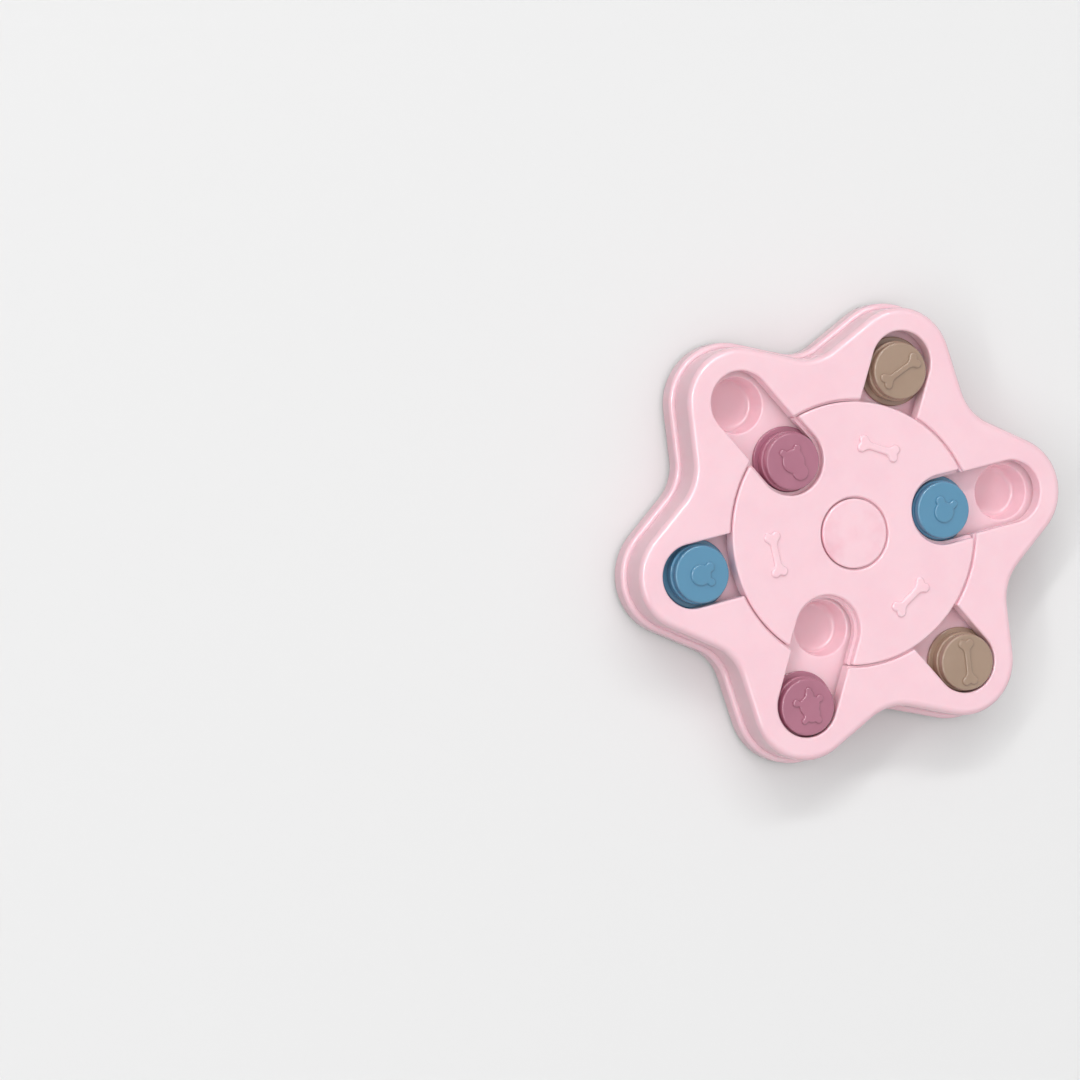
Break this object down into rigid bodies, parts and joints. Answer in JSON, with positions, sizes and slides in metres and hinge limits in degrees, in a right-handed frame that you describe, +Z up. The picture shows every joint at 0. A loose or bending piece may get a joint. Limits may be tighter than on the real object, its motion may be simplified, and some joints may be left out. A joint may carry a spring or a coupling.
{
  "type": "dog puzzle feeder toy",
  "caption": "Star-shaped treat puzzle: sliding pucks in tracks over treat wells, some riding in the slots of a central turntable, on a tray with rubber feet.",
  "frame": {"origin": "centre of the footprint, on the surface that the rubber feet stand on", "axes": "+Z up out of the tracks, +X out along track 1, the other tracks following anticlockwise seen from above"},
  "size_m": [0.2466, 0.222, 0.0355],
  "materials": {
    "pink_plastic": "satin",
    "blue_plastic": "satin",
    "mauve_plastic": "satin",
    "taupe_plastic": "satin",
    "rubber_feet": "matte",
    "zinc_steel": "zinc plated"
  },
  "bodies": {
    "base": {"base_tray": "pink_plastic", "top_cover": "pink_plastic", "hub_cap": "pink_plastic", "hub_screw": "zinc_steel", "hub_washer": "zinc_steel", "case_screws": "zinc_steel", "foot_1": "rubber_feet", "foot_2": "rubber_feet", "foot_3": "rubber_feet", "foot_4": "rubber_feet", "foot_5": "rubber_feet", "foot_6": "rubber_feet"},
    "turntable": {"turntable": "pink_plastic"},
    "puck_right": {"puck_blue_right": "blue_plastic"},
    "puck_top": {"puck_taupe_top": "taupe_plastic"},
    "puck_upper_left": {"puck_mauve_upper_left": "mauve_plastic"},
    "puck_left": {"puck_blue_left": "blue_plastic"},
    "puck_lower_left": {"puck_mauve_lower_left": "mauve_plastic"},
    "puck_lower_right": {"puck_taupe_lower_right": "taupe_plastic"}
  },
  "joints": [
    {"name": "turntable_spin", "type": "hinge", "parent": "base", "child": "turntable", "pos_m": [0, 0, 0.029], "axis": [0, 0, 1], "range_deg": [-240, 240]},
    {"name": "puck_right_slide", "type": "slide", "parent": "turntable", "child": "puck_right", "axis": [1, 0, 0], "range_m": [0, 0.0416]},
    {"name": "puck_upper_left_slide", "type": "slide", "parent": "turntable", "child": "puck_upper_left", "axis": [-0.5, 0.866, 0], "range_m": [0, 0.0416]},
    {"name": "puck_lower_left_slide", "type": "slide", "parent": "base", "child": "puck_lower_left", "axis": [0.5, 0.866, 0], "range_m": [0, 0.0416]},
    {"name": "puck_top_slide", "type": "slide", "parent": "base", "child": "puck_top", "axis": [0.5, 0.866, 0], "range_m": [-0.0037, 0.0053]},
    {"name": "puck_left_slide", "type": "slide", "parent": "base", "child": "puck_left", "axis": [-1, 0, 0], "range_m": [-0.0037, 0.0053]},
    {"name": "puck_lower_right_slide", "type": "slide", "parent": "base", "child": "puck_lower_right", "axis": [0.5, -0.866, 0], "range_m": [-0.009, 0]}
  ]
}
